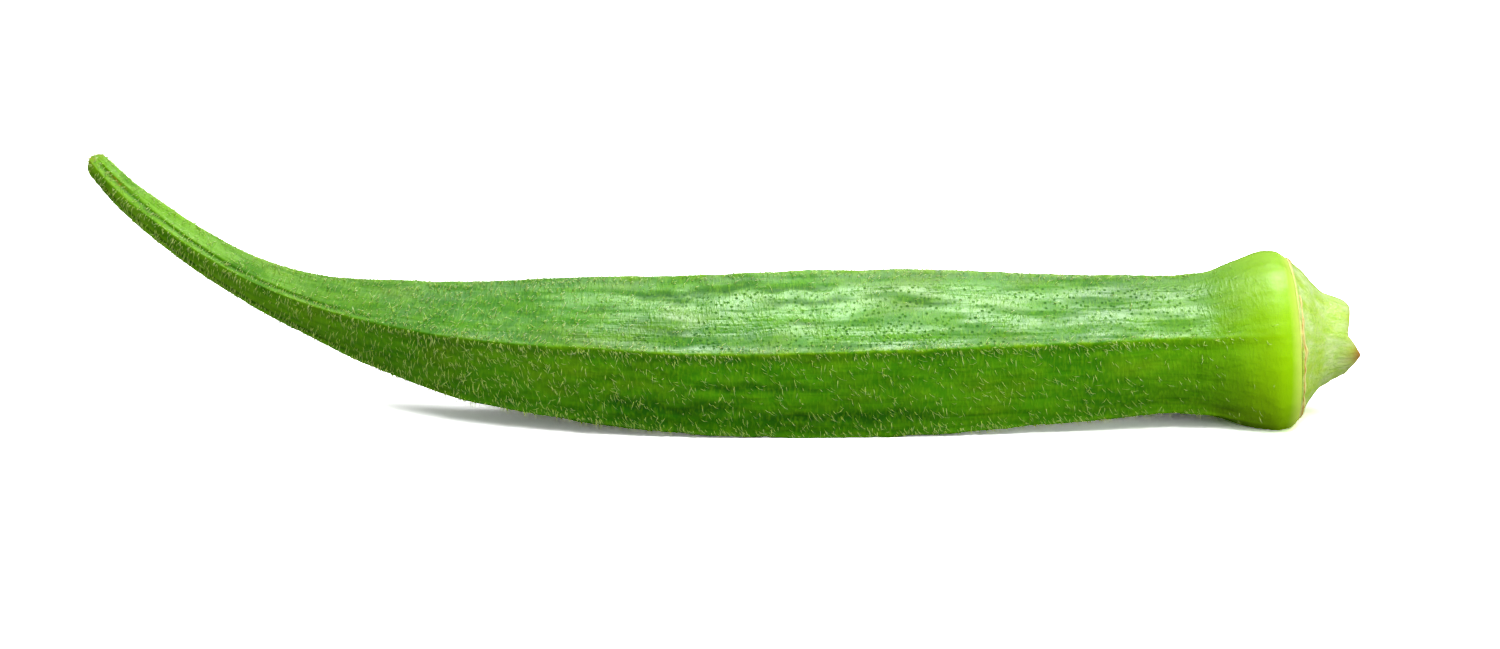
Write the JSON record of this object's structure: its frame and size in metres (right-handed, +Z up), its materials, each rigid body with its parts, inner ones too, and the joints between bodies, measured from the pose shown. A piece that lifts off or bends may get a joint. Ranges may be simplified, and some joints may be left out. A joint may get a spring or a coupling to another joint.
{
  "type": "okra pod",
  "caption": "Fresh green okra pod as picked: a ridged, tapering capsule with a curled tip, a flared shoulder and a short cut stem cap, lying on one face.",
  "frame": {"origin": "bottom centre of the pod's bounding box, on the surface that the pod lies on", "axes": "+X from the curled tip to the cut stem, +Z up, -Y the front, so the tip curls up and towards +Y"},
  "size_m": [0.1284, 0.0358, 0.0221],
  "materials": {
    "pod_skin": "satin plant skin with fine hairs",
    "stem_skin": "matt plant skin with a pale bloom"
  },
  "bodies": {
    "root": {"pod": "pod_skin", "stem_cap": "stem_skin"}
  },
  "joints": []
}
